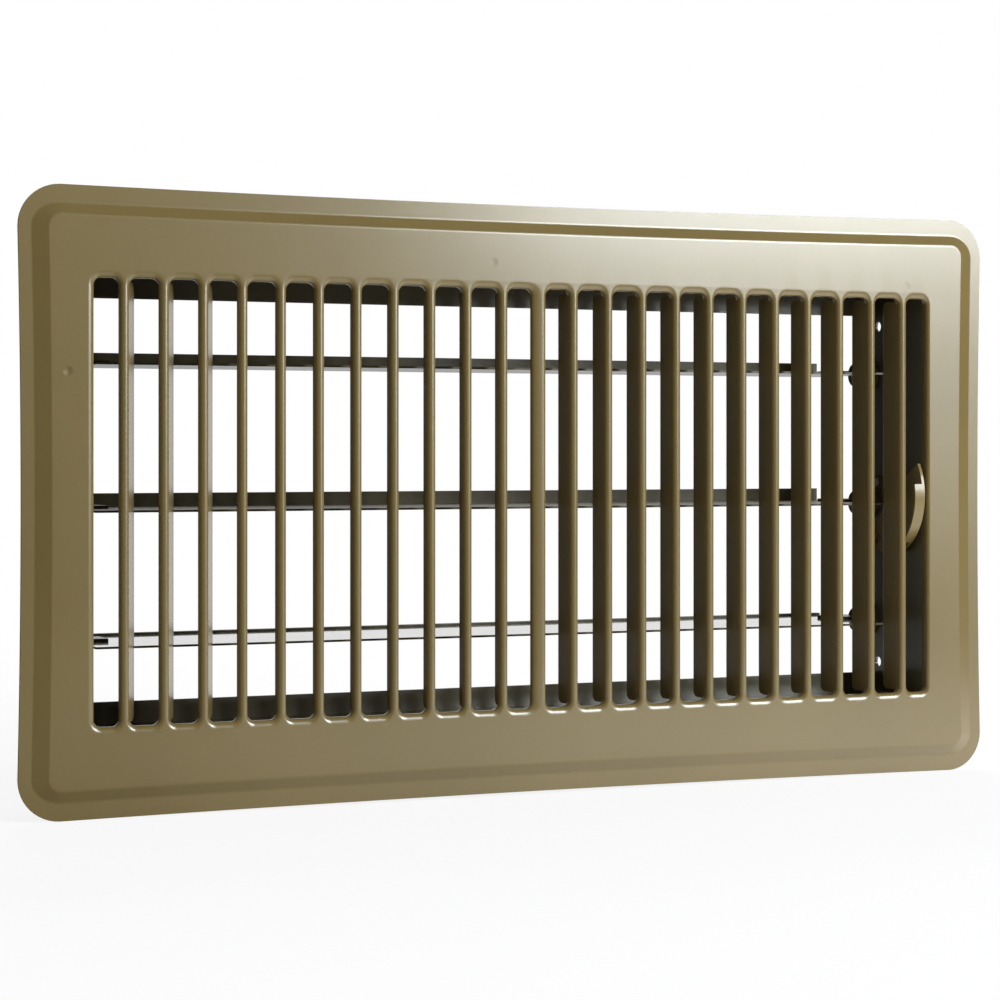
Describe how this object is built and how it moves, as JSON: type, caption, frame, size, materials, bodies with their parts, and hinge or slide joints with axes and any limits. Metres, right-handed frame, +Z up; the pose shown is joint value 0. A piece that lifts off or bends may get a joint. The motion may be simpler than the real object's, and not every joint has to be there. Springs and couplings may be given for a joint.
{
  "type": "louvred air grille",
  "caption": "Stamped steel floor or wall air register: a louvred rectangular face on a shallow box, with damper blades tied by a link and turned by a finger lever through the face.",
  "frame": {"origin": "the centre of the plane at the back of the rim, where the grille lies on the wall or floor", "axes": "+X along the long side, +Y from the face back into the duct, +Z up the short side as the grille hangs on a wall; the face looks along -Y"},
  "size_m": [0.345, 0.0627, 0.1926],
  "materials": {
    "painted_steel": "semi-gloss",
    "box_steel": "satin",
    "blade_steel": "satin",
    "rivet_steel": "satin",
    "lever_paint": "semi-gloss"
  },
  "bodies": {
    "frame": {"face_plate": "painted_steel", "upper_channel": "box_steel", "lower_channel": "box_steel", "left_end_plate": "box_steel", "right_end_plate": "box_steel", "corner_rivets": "rivet_steel", "lever_pivot_pin": "rivet_steel"},
    "upper_damper": {"upper_blade": "blade_steel", "upper_crank": "blade_steel", "upper_left_bracket": "blade_steel", "upper_crank_axle": "rivet_steel", "upper_left_axle": "rivet_steel", "upper_link_pin": "rivet_steel"},
    "middle_damper": {"middle_blade": "blade_steel", "middle_crank": "blade_steel", "middle_left_bracket": "blade_steel", "middle_crank_axle": "rivet_steel", "middle_left_axle": "rivet_steel", "middle_link_pin": "rivet_steel"},
    "lower_damper": {"lower_blade": "blade_steel", "lower_crank": "blade_steel", "lower_left_bracket": "blade_steel", "lower_crank_axle": "rivet_steel", "lower_left_axle": "rivet_steel", "lower_link_pin": "rivet_steel"},
    "link": {"link_bar": "blade_steel"},
    "finger_lever": {"lever": "lever_paint", "drive_pin": "rivet_steel"}
  },
  "joints": [
    {"name": "lever_turn", "type": "hinge", "parent": "frame", "child": "finger_lever", "pos_m": [0, 0.0168, 0], "axis": [-1, 0, 0], "range_deg": [0, 74]},
    {"name": "upper_blade_turn", "type": "hinge", "parent": "frame", "child": "upper_damper", "pos_m": [0, 0.0343, 0.04277], "axis": [1, 0, 0], "range_deg": [0, 74]},
    {"name": "middle_blade_turn", "type": "hinge", "parent": "frame", "child": "middle_damper", "pos_m": [0, 0.0343, -0.003], "axis": [1, 0, 0], "range_deg": [0, 74]},
    {"name": "lower_blade_turn", "type": "hinge", "parent": "frame", "child": "lower_damper", "pos_m": [0, 0.0343, -0.04502], "axis": [1, 0, 0], "range_deg": [0, 74]},
    {"name": "link_swing", "type": "hinge", "parent": "middle_damper", "child": "link", "pos_m": [0, 0.02909, 0.00137], "axis": [-1, 0, 0], "range_deg": [0, 74]}
  ],
  "couplings": [
    {"joint": "upper_blade_turn", "follows": "lever_turn", "ratio": 1},
    {"joint": "middle_blade_turn", "follows": "lever_turn", "ratio": 1},
    {"joint": "lower_blade_turn", "follows": "lever_turn", "ratio": 1},
    {"joint": "link_swing", "follows": "lever_turn", "ratio": 1}
  ]
}
